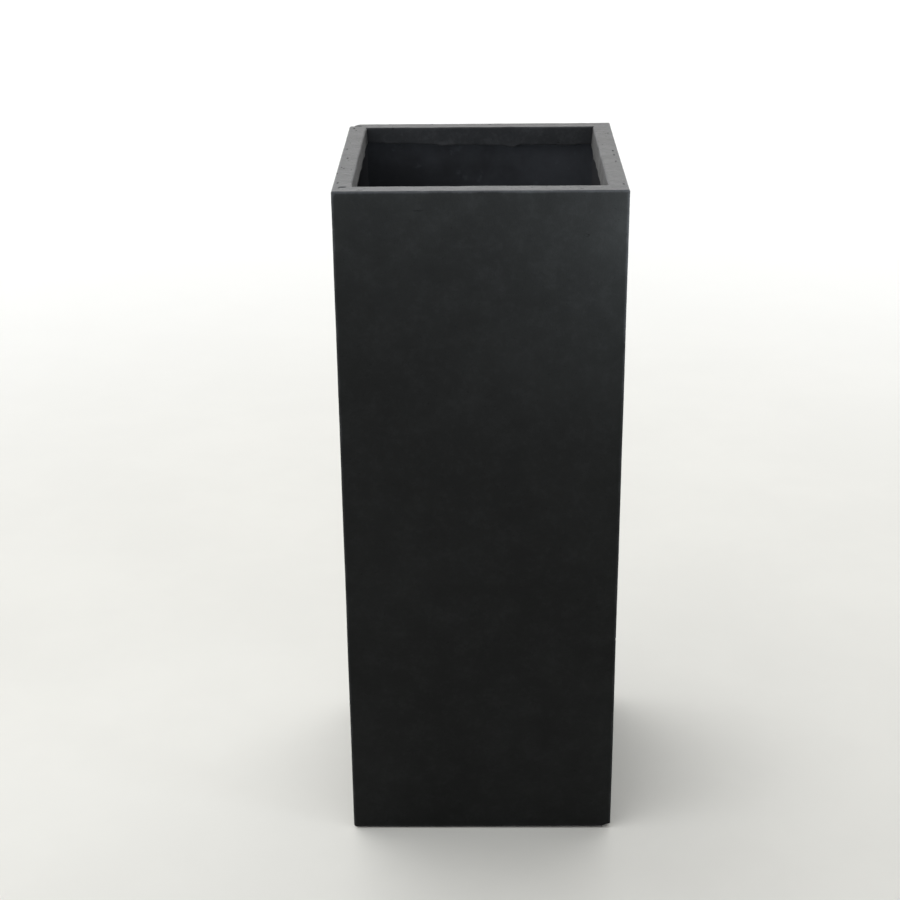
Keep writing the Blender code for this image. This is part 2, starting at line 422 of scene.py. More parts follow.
def mesh_from_grid(name, grid, turned=False, looped=True):
    """Skins a grid of points into a solid.

    A bar's rows wrap round its section, and both its ends are capped. A turned shape's
    columns wrap round its axis, and its rows wrap only where its profile is a loop.
    """
    rows, columns, _ = grid.shape
    index = np.arange(rows * columns).reshape(rows, columns)
    near = index if looped else index[:-1]
    far = np.roll(index, -1, axis=0) if looped else index[1:]
    if turned:
        quads = [near, np.roll(near, -1, axis=1), np.roll(far, -1, axis=1), far]
    else:
        quads = [near[:, :-1], near[:, 1:], far[:, 1:], far[:, :-1]]
    faces = np.stack(quads, axis=-1).reshape(-1, 4).tolist()
    if not turned:
        faces += [index[:, 0].tolist(), index[::-1, -1].tolist()]
    mesh = bpy.data.meshes.new(name)
    mesh.from_pydata(grid.reshape(-1, 3).tolist(), [], faces)
    return tidy_mesh(mesh)


def turned_grid(profile, steps):
    """A grid of points for a profile of radius and height, turned about Z."""
    angles = np.linspace(0, math.tau, steps, endpoint=False)
    return np.array([[(r * math.cos(a), r * math.sin(a), z) for a in angles]
                     for r, z in profile])


def tidy_mesh(mesh):
    """Merges doubled points, splits the caps into triangles and turns all faces outwards."""
    bm = bmesh.new()
    bm.from_mesh(mesh)
    bmesh.ops.remove_doubles(bm, verts=bm.verts, dist=1e-6)
    caps = [face for face in bm.faces if len(face.verts) > 4]
    bmesh.ops.triangulate(bm, faces=caps)
    bmesh.ops.recalc_face_normals(bm, faces=bm.faces)
    bm.to_mesh(mesh)
    bm.free()
    return mesh


def places_of(mesh):
    """The mesh's points as rows of X, Y and Z."""
    flat = np.empty(len(mesh.vertices) * 3)
    mesh.vertices.foreach_get("co", flat)
    return flat.reshape(-1, 3)


def put_places(mesh, points):
    mesh.vertices.foreach_set("co", points.ravel())
    mesh.update()


def write_attribute(mesh, name, values):
    attribute = mesh.attributes.new(name, "FLOAT", "POINT")
    attribute.data.foreach_set("value", np.asarray(values, dtype=np.float32))


def ease(values, low, high):
    """0 at low, 1 at high and a smooth rise between them, for arrays."""
    t = np.clip((values - low) / (high - low), 0, 1)
    return t * t * (3 - 2 * t)


def add_to_scene(name, data):
    """A new object in the scene, at the origin."""
    added = bpy.data.objects.new(name, data)
    bpy.context.scene.collection.objects.link(added)
    return added


def shade(mesh):
    mesh.shade_smooth()
    mesh.set_sharp_from_angle(angle=SHARP)


def piece_from_mesh(name, mesh, finishes):
    """A new piece with its finishes in slots."""
    mesh.materials.clear()
    for finish in finishes:
        mesh.materials.append(finish_named(finish))
    return add_to_scene(name, mesh)


def turned_piece(name, profile, finish, looped=True):
    """A shaded piece turned about Z from a profile."""
    mesh = mesh_from_grid(name, turned_grid(profile, 96), turned=True, looped=looped)
    shade(mesh)
    return piece_from_mesh(name, mesh, [finish])


def volume_of(mesh):
    bm = bmesh.new()
    bm.from_mesh(mesh)
    volume = bm.calc_volume()
    bm.free()
    return volume


def settle(piece):
    """Applies the piece's modifiers and leaves a plain shaded mesh."""
    plain = volume_of(piece.data)
    bpy.context.view_layer.update()
    depsgraph = bpy.context.evaluated_depsgraph_get()
    mesh = bpy.data.meshes.new_from_object(piece.evaluated_get(depsgraph))
    piece.modifiers.clear()
    if abs(volume_of(mesh) / plain - 1) > VOLUME_SLACK:
        raise RuntimeError(f"{piece.name} lost its shape: {volume_of(mesh)} for {plain}")
    old = piece.data
    piece.data = mesh
    bpy.data.meshes.remove(old)
    shade(mesh)
    return piece


def hand_over(piece, node, body):
    """Joins a finished piece to the frame in place of its node."""
    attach(piece, body)
    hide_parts(node)


# ---------------------------------------------------------------- node trees


def new_tree(name, inputs):
    """A geometry node tree with named inputs, each with its kind of socket."""
    tree = bpy.data.node_groups.new(name, "GeometryNodeTree")
    tree.interface.new_socket("Geometry", in_out="OUTPUT", socket_type="NodeSocketGeometry")
    for label, kind in {"Geometry": "Geometry", **inputs}.items():
        tree.interface.new_socket(label, in_out="INPUT", socket_type=f"NodeSocket{kind}")
    return tree, Wire(tree).node("NodeGroupInput")


def add_tree(piece, tree, values):
    """Puts a tree on a piece and sets its named inputs by their identifiers."""
    modifier = piece.modifiers.new(tree.name, "NODES")
    modifier.node_group = tree
    for item in tree.interface.items_tree:
        if item.in_out == "INPUT" and item.name in values:
            modifier[item.identifier] = values[item.name]


def attribute(given, name):
    return given.node("GeometryNodeInputNamedAttribute", {"data_type": "FLOAT"}, {"Name": name})


def between(given, low, high, seed):
    """A random number for each point."""
    return given.node("FunctionNodeRandomValue", {"data_type": "FLOAT"},
                      {2: low, 3: high, "Seed": seed}, 1)


def scatter(given, faces, zone, density, seed):
    """Points spread over faces, as dense as an attribute of theirs says."""
    return given.node("GeometryNodeDistributePointsOnFaces", {"distribute_method": "RANDOM"},
                      {"Mesh": faces, "Density": attribute(given, zone) * density, "Seed": seed})


def painted(given, geometry, material, selection=True):
    return given.node("GeometryNodeSetMaterial", None,
                      {"Geometry": geometry, "Selection": selection, "Material": material})


def hand_laid_tree():
    """Moves each point by soft noise, bites air holes out of it, and sets both finishes."""
    name = "hand_laid_face"
    if name in bpy.data.node_groups:
        return bpy.data.node_groups[name]
    tree, given = new_tree(name, {
        "Sway": "Float", "Sway Scale": "Float", "Ripple Scale": "Float", "Holes": "Float",
        "Hole Radius": "Float", "Seed": "Int", "Coat": "Material", "Rim": "Material",
        "Lining": "Material"})
    place = given.node("GeometryNodeInputPosition")
    seed = given.out("Seed")
    shifts = []
    for scale, detail, amount in (("Sway Scale", 1.0, given.out("Sway") * 2),
                                  ("Ripple Scale", 2.0, attribute(given, "ripple") * 2)):
        cloud = given.noise(place, given.out(scale), detail, output="Color")
        centred = given.vector("SUBTRACT", cloud, (0.5, 0.5, 0.5))
        shifts.append(given.vector("MULTIPLY", centred, amount))
    moved = given.node("GeometryNodeSetPosition", None,
                       {"Geometry": given.out("Geometry"), "Offset": given.vector("ADD", *shifts)})
    spots = scatter(given, moved, "hole_zone", given.out("Holes"), seed)
    size = between(given, 0.35, 1.0, seed) * given.out("Hole Radius")
    stretch = given.node("ShaderNodeCombineXYZ", None,
                         {"X": size, "Y": size * 0.8, "Z": size * 0.7})
    spin = given.node("ShaderNodeCombineXYZ", None, {"Z": between(given, 0, math.tau, seed + 1)})
    ball = given.node("GeometryNodeMeshIcoSphere", None, {"Radius": 1.0, "Subdivisions": 2})
    bubbles = given.node("GeometryNodeInstanceOnPoints", None,
                         {"Points": spots, "Instance": ball, "Rotation": spin, "Scale": stretch})
    bubbles = given.node("GeometryNodeRealizeInstances", None, {"Geometry": bubbles})
    bitten = given.node("GeometryNodeMeshBoolean", {"operation": "DIFFERENCE", "solver": "EXACT"},
                        {"Mesh 1": moved, "Mesh 2": bubbles, "Self Intersection": True})
    whole = given.node("GeometryNodeRealizeInstances", None, {"Geometry": bitten})
    coated = painted(given, whole, given.out("Coat"))
    for label, zone in (("Rim", "rim"), ("Lining", "inside")):
        chosen = given.maths("GREATER_THAN", attribute(given, zone), 0.5)
        coated = painted(given, coated, given.out(label), chosen)
    given.node("NodeGroupOutput", None, {"Geometry": coated}, None)
    return tree


def strand_tree():
    """Lays chopped glass strands on the bare laminate, half sunk in its resin."""
    name = "chopped_strands"
    if name in bpy.data.node_groups:
        return bpy.data.node_groups[name]
    tree, given = new_tree(name, {
        "Strands": "Float", "Strand Length": "Float", "Strand Width": "Float", "Seed": "Int",
        "Lining": "Material"})
    seed = given.out("Seed")
    spots = scatter(given, given.out("Geometry"), "strand_zone", given.out("Strands"), seed)
    half = given.out("Strand Length") * 0.5
    ends = [given.node("ShaderNodeCombineXYZ", None, {"X": half * side}) for side in (-1, 1)]
    sag = given.node("ShaderNodeCombineXYZ", None, {"Y": half * 0.35})
    path = given.node("GeometryNodeCurveQuadraticBezier", None,
                      {"Resolution": 5, "Start": ends[0], "Middle": sag, "End": ends[1]})
    thread = given.node("GeometryNodeCurvePrimitiveCircle", {"mode": "RADIUS"},
                        {"Resolution": 4, "Radius": given.out("Strand Width") * 0.5})
    strand = given.node("GeometryNodeCurveToMesh", None,
                        {"Curve": path, "Profile Curve": thread, "Fill Caps": True})
    swing = given.node("FunctionNodeAxisAngleToRotation", None,
                       {"Axis": (0, 0, 1), "Angle": between(given, 0, math.tau, seed)})
    lie = given.node("FunctionNodeRotateRotation", {"rotation_space": "LOCAL"},
                     {"Rotation": spots.out("Rotation"), "Rotate By": swing})
    cut = given.node("ShaderNodeCombineXYZ", None,
                     {"X": between(given, 0.4, 1.0, seed + 1), "Y": 1.0, "Z": 0.35})
    laid = given.node("GeometryNodeInstanceOnPoints", None,
                      {"Points": spots, "Instance": strand, "Rotation": lie, "Scale": cut})
    laid = given.node("GeometryNodeRealizeInstances", None, {"Geometry": laid})
    laid = painted(given, laid, given.out("Lining"))
    joined = given.node("GeometryNodeJoinGeometry")
    for part in (laid, given.out("Geometry")):
        tree.links.new(part.socket, joined.socket.node.inputs[0])
    given.node("NodeGroupOutput", None, {"Geometry": joined}, None)
    return tree


def add_hand_laid(piece, coat, lining, holes, seed):
    shape = bpy.context.scene.planter_shape
    add_tree(piece, hand_laid_tree(), {
        "Sway": shape.sway, "Sway Scale": 5.0, "Ripple Scale": 55.0, "Holes": holes,
        "Hole Radius": shape.hole_radius, "Seed": seed,
        "Coat": finish_named(coat), "Rim": finish_named("rim_coat"),
        "Lining": finish_named(lining)})


def add_strands(piece, seed):
    shape = bpy.context.scene.planter_shape
    add_tree(piece, strand_tree(), {
        "Strands": shape.strands, "Strand Length": shape.strand, "Strand Width": 0.0009,
        "Seed": seed, "Lining": finish_named("bare_laminate")})


# ---------------------------------------------------------------- knocks and chips

# Where the box has been knocked: middle of the bite, its radii, and its turn about Z
KNOCKS = (
    ("right foot corner",
     (HALF + 0.003, -HALF - 0.003, WALL_FOOT - 0.002), (0.0155, 0.0155, 0.0075), 20),
    ("left foot corner",
     (-HALF - 0.001, -HALF - 0.001, WALL_FOOT - 0.001), (0.005, 0.005, 0.005), 0),
    ("right arris", (HALF + 0.0004, -HALF, 0.296), (0.0022, 0.0150, 0.0026), 0),
    ("front left rim", (-0.163, -0.157, HEIGHT + 0.0115), (0.016, 0.012, 0.0126), 10),
    ("front pit", (0.1275, -HALF - 0.0005, 0.8456), (0.0027, 0.0016, 0.0019), 0),
    ("front scratch", (-0.0737, -HALF - 0.0002, 0.8763), (0.0070, 0.0010, 0.0011), 0),
    ("front fleck", (-0.0712, -HALF - 0.0001, 0.6666), (0.0016, 0.0009, 0.0013), 0),
    ("left rail hole", (-0.1672, -0.015, HEIGHT), (0.0013, 0.0017, 0.0009), 0),
    ("left rail nick", (-0.1715, -0.062, HEIGHT), (0.0010, 0.0016, 0.0008), 0),
    ("left rail edge", (-0.1757, -0.0915, HEIGHT), (0.0018, 0.0030, 0.0014), 0),
    ("back left hole", (-0.1695, 0.151, HEIGHT), (0.0015, 0.0022, 0.0011), 0),
    ("back left pit", (-0.1660, 0.139, HEIGHT), (0.0010, 0.0018, 0.0008), 0),
    ("right rail hole", (0.1696, 0.017, HEIGHT), (0.0013, 0.0024, 0.0014), 0),
)


def knock_cutter():
    """All the bites, as lumpy balls in one mesh that cuts walls and rails alike."""
    name = "knocks"
    if name in bpy.data.objects:
        return bpy.data.objects[name]
    bm = bmesh.new()
    for number, (_, place, radii, angle) in enumerate(KNOCKS):
        ball = bmesh.ops.create_icosphere(bm, subdivisions=3, radius=1.0)["verts"]
        for vert in ball:
            vert.co *= 1 + 0.16 * noise.noise(vert.co * 1.7 + Vector((number * 5.0, 0, 0)))
        size = Matrix.Diagonal((*radii, 1.0))
        bmesh.ops.transform(bm, matrix=Matrix.Translation(place) @ turn(angle) @ size, verts=ball)
    mesh = mesh_from_bm(name, bm)
    write_attribute(mesh, "wear", np.full(len(mesh.vertices), 1.0))
    return bpy.data.objects.new(name, mesh)


def add_knocks(piece):
    bite = piece.modifiers.new("knocks", "BOOLEAN")
    bite.object = knock_cutter()
    bite.operation = "DIFFERENCE"


# ---------------------------------------------------------------- walls and rails


def wall_section(arris):
    """Up the outside of a wall, over its top, down its inside and across its foot."""
    foot = arc((arris, WALL_FOOT + arris), arris, 270, 180, 4)
    head = arc((arris, HEIGHT - arris), arris, 180, 90, 5)
    outside = [(0.0, z) for z in spread(WALL_FOOT + arris, HEIGHT - arris, 0.004)]
    top = [(x, HEIGHT) for x in spread(arris, WALL, 0.0013)]
    inside = [(WALL, z) for z in spread(HEIGHT, WALL_FOOT, 0.007)]
    under = [(x, WALL_FOOT) for x in spread(WALL, arris, 0.0025)]
    return [*foot, *outside, *head, *top, (WALL, HEIGHT), *inside, (WALL, WALL_FOOT), *under]


def rail_section(arris):
    """Up a rail's bonded side, across its top, down the lip and back under it."""
    lower = 0.0016
    bonded = [(WALL, z) for z in spread(RAIL_FOOT, HEIGHT, 0.004)]
    top = [(x, HEIGHT) for x in spread(WALL, RIM - arris, 0.0012)]
    head = arc((RIM - arris, HEIGHT - arris), arris, 90, 0, 5)
    lip = [(RIM, z) for z in spread(HEIGHT - arris, RAIL_FOOT + lower, 0.0012)]
    foot = arc((RIM - lower, RAIL_FOOT + lower), lower, 0, -90, 4)
    under = [(x, RAIL_FOOT) for x in spread(RIM - lower, WALL, 0.0016)]
    return [(WALL, RAIL_FOOT), *bonded, (WALL, HEIGHT), *top, *head, *lip, *foot, *under]


def wobble(x, pitch, seed):
    """Soft noise along a line, between about -1 and 1, with bumps about a pitch long."""
    return 2 * noise.noise(Vector((x / pitch, seed * 7.3, 0.5)))


def trim_lip(grid, side):
    """Gives a rail the uneven lower edge and mouth line of hand-trimmed filler."""
    deepest, middle, rise, lean, edge = LIPS[side]
    seed = SIDES[side] / 90 + 1
    for point in grid.reshape(-1, 3):
        x, y, z = point
        offset = HALF + y
        free = float(ease(np.array(MOUTH - abs(x)), 0.0, 0.02))
        near_foot = float(ease(np.array(z), RAIL_FOOT + 0.014, RAIL_FOOT))
        lip = float(ease(np.array(offset), WALL + 0.002, RIM - 0.003))
        foot = HEIGHT - deepest + rise * (x - middle) ** 2
        foot += free * (0.0006 * wobble(x, 0.020, seed) + 0.0003 * wobble(x, 0.006, seed))
        swell = 0.0
        for place, width, drop in BEADS.get(side, ()):
            bulge = drop * math.exp(-((x - place) / width) ** 2)
            foot -= bulge
            swell += bulge * 0.7 * near_foot ** 3
        point[2] += near_foot * (foot - RAIL_FOOT)
        bead = swell + max(wobble(x, 0.016, seed + 9), 0.0) * 0.0008 * near_foot ** 3
        mouth_line = edge + 0.00025 * wobble(x, 0.030, seed + 4)
        slope = lean * float(ease(np.array(z), HEIGHT, RAIL_FOOT))
        point[1] += free * lip * (mouth_line + bead) + lip * slope
    return grid


def round_worn_corner(mesh):
    """Wears the rim's back left corner round and a little lower."""
    points = places_of(mesh)
    radius = 0.002 + 0.014 * ease(points[:, 2], HEIGHT - 0.035, HEIGHT)
    back = radius - (points[:, 0] + HALF)
    side = radius - (HALF - points[:, 1])
    inside = (back > 0) & (side > 0)
    pull = np.where(inside, np.maximum(back, side) / np.maximum(np.hypot(back, side), 1e-9), 1.0)
    points[:, 0] += np.where(inside, back * (1 - pull), 0.0)
    points[:, 1] -= np.where(inside, side * (1 - pull), 0.0)
    points[:, 2] -= 0.006 * (1 - pull) * ease(points[:, 2], HEIGHT - 0.02, HEIGHT)
    put_places(mesh, points)


def mark_wall(mesh, shape):
    """Writes where a wall wears, where it is bare inside and where its holes may be."""
    x, y, z = places_of(mesh).T
    sides = np.sort([HALF - abs(x), HALF + y, np.minimum(HEIGHT - z, z - WALL_FOOT)], axis=0)
    on_top = z > HEIGHT - FLUSH
    outside = HALF + y < FLUSH
    bare = (abs(HALF + y - WALL) < FLUSH) & (z < HEIGHT - FLUSH)
    clear = ease(INSIDE - abs(x), 0.03, 0.05) * ease(z, BASE_TOP + 0.02, BASE_TOP + 0.04)
    write_attribute(mesh, "wear", ease(sides[1], 0.006, 0.0005))
    write_attribute(mesh, "inside", bare)
    # The wall's top takes the rim coat, which is painted lighter as painted highlight.
    write_attribute(mesh, "rim", z > HEIGHT - shape.arris * 0.7)
    write_attribute(mesh, "strand_zone", bare * clear * ease(RAIL_FOOT - z, 0.02, 0.04))
    write_attribute(mesh, "hole_zone", on_top * ease(HALF + y, shape.arris, WALL / 2)
                    + outside * 0.006 * ease(sides[1], 0.01, 0.02))
    near_rim = ease(z, HEIGHT - 0.03, HEIGHT - 0.005)
    ripple = shape.ripple + (shape.rim_ripple - shape.ripple) * near_rim
    write_attribute(mesh, "ripple", ripple + bare * ease(RAIL_FOOT - z, 0.0, 0.02) * 0.0006)


def mark_rail(mesh, shape):
    """Writes where a rail wears and where its holes may be."""
    _, y, z = places_of(mesh).T
    offset = HALF + y
    on_top = z > HEIGHT - FLUSH
    corner = np.maximum(abs(offset - RIM), HEIGHT - z)
    write_attribute(mesh, "wear", ease(corner, 0.004, 0.0005))
    write_attribute(mesh, "inside", np.zeros(len(z)))
    write_attribute(mesh, "hole_zone", on_top * 1.0 + (offset > RIM - 0.001) * 0.25)
    write_attribute(mesh, "ripple", np.full(len(z), shape.rim_ripple))


def sag_foot(mesh):
    """Lets the walls' lower edge run low and uneven, lowest on the left."""
    points = places_of(mesh)
    low = ease(points[:, 2], WALL_FOOT + 0.012, WALL_FOOT)
    uneven = np.array([wobble(x + 2 * y, 0.05, 12) for x, y, _ in points])
    points[:, 2] -= low * (0.0015 - 0.004 * points[:, 0] + 0.0001 * uneven)
    put_places(mesh, points)


class PLANTER_OT_walls(bpy.types.Operator):
    """Builds the four wall panels"""

    bl_idname = "planter.walls"
    bl_label = "Wall Panels"

    def execute(self, context):
        shape = context.scene.planter_shape
        for number, (side, angle) in enumerate(SIDES.items()):
            grid = mitred_grid(wall_section(shape.arris), 0.004, shape.arris, 4)
            mesh = mesh_from_grid(f"{side}_wall_panel", grid)
            mark_wall(mesh, shape)
            mesh.transform(turn(angle))
            round_worn_corner(mesh)
            sag_foot(mesh)
            wall = piece_from_mesh(f"{side}_wall_panel", mesh,
                                   ["wall_coat", "rim_coat", "bare_laminate"])
            add_hand_laid(wall, "wall_coat", "bare_laminate", shape.holes, shape.seed + number)
            add_knocks(wall)
            add_strands(wall, shape.seed + number)
            hand_over(settle(wall), f"{side}_wall", "planter")
        return {"FINISHED"}


class PLANTER_OT_rim_rails(bpy.types.Operator):
    """Builds the four rails that thicken the rim"""

    bl_idname = "planter.rim_rails"
    bl_label = "Rim Rails"

    def execute(self, context):
        shape = context.scene.planter_shape
        for number, (side, angle) in enumerate(SIDES.items()):
            grid = trim_lip(mitred_grid(rail_section(shape.rim_arris), 0.0015), side)
            mesh = mesh_from_grid(f"{side}_rim_lip", grid)
            mark_rail(mesh, shape)
            mesh.transform(turn(angle))
            round_worn_corner(mesh)
            rail = piece_from_mesh(f"{side}_rim_lip", mesh, ["rim_coat"])
            add_hand_laid(rail, "rim_coat", "rim_coat", shape.holes, shape.seed + 10 + number)
            add_knocks(rail)
            hand_over(settle(rail), f"{side}_rim_rail", "planter")
        return {"FINISHED"}


# ---------------------------------------------------------------- joints and base


def cove_section():
    """A thumbed fillet in the corner at the origin, with its legs along Y and Z."""
    edge = 0.0006
    middle = FILLET_LEG * 1.25
    cove = arc((middle, middle), middle - edge, -101.5, -168.5, 8)
    return [(0, 0), *[(y, 0) for y in spread(0, FILLET_LEG, 0.003)], (FILLET_LEG, 0), *cove,
            (0, FILLET_LEG), *[(0, z) for z in spread(FILLET_LEG, 0, 0.003)]]


def make_fillet(name, node, grid, place):
    shape = bpy.context.scene.planter_shape
    mesh = mesh_from_grid(name, grid)
    mesh.transform(place)
    count = len(mesh.vertices)
    for label, value in (("inside", 0.0), ("hole_zone", 0.3), ("ripple", 0.0009)):
        write_attribute(mesh, label, np.full(count, value))
    fillet = piece_from_mesh(name, mesh, ["joint_filler"])
    add_hand_laid(fillet, "joint_filler", "joint_filler", shape.holes, shape.seed)
    hand_over(settle(fillet), node, "planter")


class PLANTER_OT_fillets(bpy.types.Operator):
    """Builds the fillets up the inner corners and along the foot of the walls"""

    bl_idname = "planter.fillets"
    bl_label = "Joint Fillets"

    def execute(self, context):
        tuck = 0.004  # how far a corner fillet runs up into the rails
        upright = straight_grid(cove_section(), BASE_TOP, RAIL_FOOT + tuck, 0.006)
        stood = Matrix(((0, 1, 0, -INSIDE), (0, 0, 1, -INSIDE), (1, 0, 0, 0), (0, 0, 0, 1)))
        for corner, angle in CORNERS.items():
            make_fillet(f"corner_cove_{corner}", f"corner_fillet_{corner}", upright,
                        turn(angle) @ stood)
        reach = INSIDE - FILLET_LEG / 2
        level = straight_grid(cove_section(), -reach, reach, 0.006)
        for side, angle in SIDES.items():
            make_fillet(f"floor_cove_{side}", f"floor_fillet_{side}", level,
                        turn(angle) @ Matrix.Translation((0, -INSIDE, BASE_TOP)))
        return {"FINISHED"}


def hole_cutter(radius):
    """A plain round cutter through the base panel."""
    bm = bmesh.new()
    bmesh.ops.create_cone(bm, cap_ends=True, segments=64, radius1=radius, radius2=radius,
                          depth=0.05)
    bmesh.ops.translate(bm, vec=(0, 0, BASE_TOP), verts=bm.verts)
    return bpy.data.objects.new("drain_hole", mesh_from_bm("drain_hole", bm))


class PLANTER_OT_base(bpy.types.Operator):
    """Builds the base panel with its drain hole"""

    bl_idname = "planter.base"
    bl_label = "Base Panel"

    def execute(self, context):
        shape = context.scene.planter_shape
        pitch = 0.004
        line = spread(-INSIDE, INSIDE, pitch)
        section = [(-INSIDE, BASE_FOOT), (-INSIDE, BASE_TOP), *[(y, BASE_TOP) for y in line],
                   (INSIDE, BASE_TOP), (INSIDE, BASE_FOOT), *[(y, BASE_FOOT) for y in line[::-1]]]
        mesh = mesh_from_grid("base_laminate", straight_grid(section, -INSIDE, INSIDE, pitch))
        x, y, z = places_of(mesh).T
        flat = ease(np.hypot(x, y), BUSH_HIGH.x, BUSH_HIGH.x + 0.01)
        clear = flat * ease(INSIDE - np.maximum(abs(x), abs(y)), 0.03, 0.05)
        write_attribute(mesh, "inside", np.zeros(len(z)))
        write_attribute(mesh, "hole_zone", flat * 0.1)
        write_attribute(mesh, "ripple", flat * 0.0008)
        write_attribute(mesh, "strand_zone", clear)
        base = piece_from_mesh("base_laminate", mesh, ["bare_laminate"])
        add_hand_laid(base, "bare_laminate", "bare_laminate", shape.holes, shape.seed)
        drain = base.modifiers.new("drain", "BOOLEAN")
        drain.object = hole_cutter(DRAIN_HOLE)
        drain.operation = "DIFFERENCE"
        add_strands(base, shape.seed)
        hand_over(settle(base), "base_panel", "planter")
        return {"FINISHED"}


# ---------------------------------------------------------------- pads and drain


def pad_section():
    """A pad seen from the side: rounded shoulders, and grooves across its tread."""
    low, high = PAD_LOW.y, PAD_HIGH.y
    edge = 0.002
    grooves = 6
    step = (high - low - 2 * edge) / grooves
    tread = []
    for number in range(grooves):
        start = low + edge + number * step
        tread += [(start, 0.0), (start + step * 0.66, 0.0), (start + step * 0.72, 0.0014),
                  (start + step * 0.94, 0.0014)]
    right = arc((high - edge, edge), edge, -90, 0, 4)
    top = PAD_HIGH.z
    return [*tread, *right, (high, top - 0.001), (high - 0.001, top), (low + 0.001, top),
            (low, top - 0.001), *arc((low + edge, edge), edge, 180, 270, 4)[:-1]]


class PLANTER_OT_pads(bpy.types.Operator):
    """Builds the rubber pads under the base"""

    bl_idname = "planter.pads"
    bl_label = "Foot Pads"

    def execute(self, context):
        grid = straight_grid(pad_section(), PAD_LOW.x, PAD_HIGH.x, 0.004)
        for corner, angle in CORNERS.items():
            mesh = mesh_from_grid(f"rubber_pad_{corner}", grid)
            mesh.transform(turn(angle))
            shade(mesh)
            pad = piece_from_mesh(f"rubber_pad_{corner}", mesh, ["moulded_rubber"])
            round_over = pad.modifiers.new("round over", "BEVEL")
            round_over.width = 0.0006
            round_over.segments = 2
            round_over.angle_limit = math.radians(60)
            hand_over(settle(pad), f"foot_pad_{corner}", "planter")
        return {"FINISHED"}


class PLANTER_OT_drain(bpy.types.Operator):
    """Builds the drain bushing and the stopper that seats in it"""

    bl_idname = "planter.drain"
    bl_label = "Drain"

    def execute(self, context):
        bore = 0.0115
        sleeve = 0.0146
        top, foot = BUSH_HIGH.z, BUSH_LOW.z
        edge = 0.001
        flange = arc((BUSH_HIGH.x - edge, top - edge), edge, 90, 0, 5)
        bore_top = arc((bore + edge, top - edge), edge, 180, 90, 5)
        ribs = []
        for z in np.linspace(BASE_TOP - 0.002, foot + 0.003, 5):
            ribs += [(sleeve, z + 0.0006), (sleeve + 0.0003, z), (sleeve, z - 0.0006)]
        profile = [*bore_top, *flange, (BUSH_HIGH.x, BASE_TOP), (sleeve, BASE_TOP), *ribs,
                   (sleeve, foot + edge), (sleeve - edge, foot), (bore, foot)]
        bushing = turned_piece("drain_sleeve", profile, "moulded_plastic")
        hand_over(bushing, "drain_bushing", "planter")

        knob, neck, head = 0.009, 0.005, STOPPER_HIGH.x
        shoulder, rib, stem = 0.0112, 0.0109, 0.0106
        crown = STOPPER_HIGH.z
        seat = BUSH_HIGH.z
        knob_foot = crown - 0.006
        head_top = seat + 0.0043
        tip = STOPPER_LOW.z
        dish = arc((0, crown + 0.020), 0.0205, -90, -72, 4)
        profile = [*dish, *arc((knob - 0.0015, crown - 0.0015), 0.0015, 80, -10, 5),
                   *arc((knob - 0.001, knob_foot + 0.001), 0.001, 0, -90, 4),
                   *arc((neck + 0.002, knob_foot - 0.002), 0.002, 90, 180, 4),
                   *arc((neck + 0.002, head_top + 0.002), 0.002, 180, 270, 4),
                   *arc((head - 0.0012, head_top - 0.0012), 0.0012, 90, 0, 4),
                   (head, seat + 0.0003), (shoulder, seat + 0.0003)]
        for z in np.linspace(seat - 0.003, tip + 0.005, 4):
            profile += [(stem, z + 0.0010), (rib, z), (stem, z - 0.0010)]
        profile += [(0.0102, tip + 0.002), (0.0082, tip), (0.0, tip)]
        stopper = turned_piece("rubber_stopper", profile, "moulded_rubber", looped=False)
        hand_over(stopper, "drain_stopper", "stopper")
        return {"FINISHED"}


# ---------------------------------------------------------------- stage


CAMERA_PLACE = Vector((-0.0032, -2.2016, 1.4402))
CAMERA_DOWN = 23.298  # degrees below level
CAMERA_LEFT = 1.007  # degrees to the left of straight ahead
CAMERA_LEAN = -0.585  # degrees about its own line of sight


def make_camera(stage):
    camera = bpy.data.cameras.new("camera")
    camera.lens = stage.lens
    camera.sensor_width = 36
    holder = add_to_scene("camera", camera)
    aim = turn(CAMERA_LEFT) @ Matrix.Rotation(math.radians(90 - CAMERA_DOWN), 4, "X")
    holder.matrix_world = Matrix.Translation(CAMERA_PLACE) @ aim @ turn(CAMERA_LEAN)
    bpy.context.scene.camera = holder


def make_sky(stage):
    """Soft light from all round, with its own strength from each side."""
    world = bpy.data.worlds.new("soft_sky")
    world.use_nodes = True
    tree = world.node_tree
    start = Wire(tree)
    direction = start.node("ShaderNodeTexCoord").out("Generated")
    parts = start.node("ShaderNodeSeparateXYZ", None, {0: direction})
    x, y, z = (parts.out(name) for name in "XYZ")
    high = z.above(0.25, 0.85) * (1 - x)
    level = (y.above(0.0, 0.8) * stage.behind + y.above(0.0, -0.8) * stage.front
             + x.above(0.0, -0.9) * stage.left + x.above(0.0, 0.9) * stage.right)
    strength = high * stage.above + z.above(0.85, 0.25) * level
    backdrop = tree.nodes["Background"]
    backdrop.inputs["Color"].default_value = (0.99, 0.995, 1.0, 1)
    tree.links.new(strength.socket, backdrop.inputs["Strength"])
    bpy.context.scene.world = world


def make_floor(stage):
    bm = bmesh.new()
    bmesh.ops.create_circle(bm, cap_ends=True, segments=96, radius=14.0)
    mesh = mesh_from_bm("floor", bm)
    floor = add_to_scene("floor", mesh)
    finish, start, place, shader = new_finish("pale_floor")
    cloud = start.noise(place, 3.0, 4.0, 0.6)
    away = start.node("ShaderNodeVectorMath", {"operation": "LENGTH"}, {0: place}, "Value")
    near = start.blend(cloud.above(0.35, 0.7), colour(c * 0.97 for c in stage.floor),
                       colour(stage.floor))
    base = start.blend(away.above(0.7, 3.5), near, colour((0.97, 0.97, 0.955)))
    finish_off(start, shader, base, 0.7 + cloud * 0.1, cloud, 0.0002, 0.1)
    mesh.materials.append(finish)


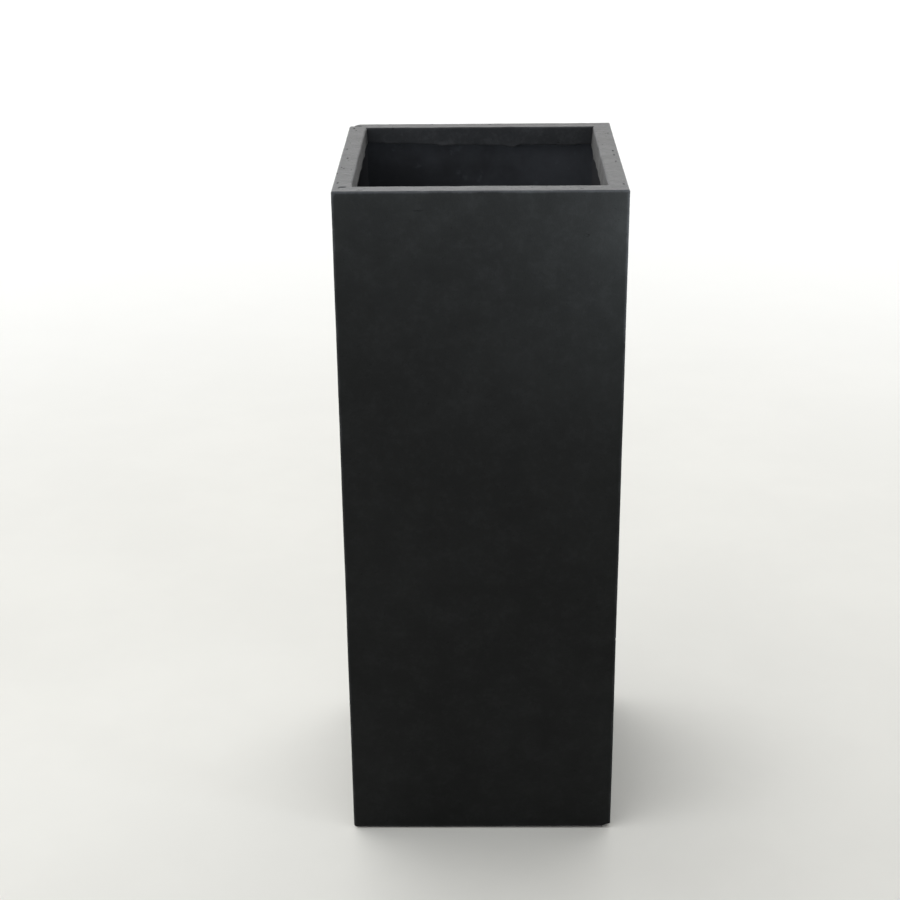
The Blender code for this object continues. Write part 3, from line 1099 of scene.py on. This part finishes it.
def make_light(name, place, aim, sides, power):
    """A soft rectangle of cool light that the camera does not see."""
    light = bpy.data.lights.new(name, "AREA")
    light.shape = "RECTANGLE"
    light.color = (0.88, 0.94, 1.0)
    light.size, light.size_y = sides
    light.energy = power
    holder = add_to_scene(name, light)
    holder.location = place
    holder.rotation_euler = (Vector(aim) - holder.location).to_track_quat("-Z", "Y").to_euler()
    holder.visible_camera = False


class PLANTER_OT_stage(bpy.types.Operator):
    """Sets the floor, the light and the camera"""

    bl_idname = "planter.stage"
    bl_label = "Stage"

    def execute(self, context):
        stage = context.scene.planter_stage
        make_floor(stage)
        make_sky(stage)
        make_light("side_light", (0.30, -0.36, 0.87), (HALF, -HALF, HEIGHT - 0.01),
                   (0.14, 0.14), stage.side_light)
        make_light("front_light", (-0.13, -0.36, 0.97), (-0.08, -HALF, HEIGHT - 0.02),
                   (0.50, 0.12), stage.front_light)
        make_camera(stage)
        context.scene.view_settings.view_transform = "Standard"
        return {"FINISHED"}


# ---------------------------------------------------------------- add-on


OPERATORS = (PLANTER_OT_walls, PLANTER_OT_rim_rails, PLANTER_OT_fillets, PLANTER_OT_base,
             PLANTER_OT_pads, PLANTER_OT_drain, PLANTER_OT_stage)


class PLANTER_PT_panel(bpy.types.Panel):
    """Lists the planter's pieces and their settings"""

    bl_idname = "PLANTER_PT_panel"
    bl_label = "Planter Box"
    bl_space_type = "VIEW_3D"
    bl_region_type = "UI"
    bl_category = "Planter"

    def draw(self, context):
        layout = self.layout
        for settings in ("planter_shape", "planter_finish", "planter_stage"):
            group = getattr(context.scene, settings)
            for name in group.__annotations__:
                layout.prop(group, name)
        for operator in OPERATORS:
            layout.operator(operator.bl_idname)


SETTINGS = {"planter_shape": PlanterShape, "planter_finish": PlanterFinish,
            "planter_stage": PlanterStage}
CLASSES = (*SETTINGS.values(), *OPERATORS, PLANTER_PT_panel)


def register():
    for item in CLASSES:
        bpy.utils.register_class(item)
    for name, group in SETTINGS.items():
        setattr(bpy.types.Scene, name, PointerProperty(type=group))


def unregister():
    for name in SETTINGS:
        delattr(bpy.types.Scene, name)
    for item in reversed(CLASSES):
        bpy.utils.unregister_class(item)


def main():
    register()
    bpy.ops.planter.walls()
    bpy.ops.planter.rim_rails()
    bpy.ops.planter.fillets()
    bpy.ops.planter.base()
    bpy.ops.planter.pads()
    bpy.ops.planter.drain()
    bpy.ops.planter.stage()


if __name__ == "__main__":
    main()
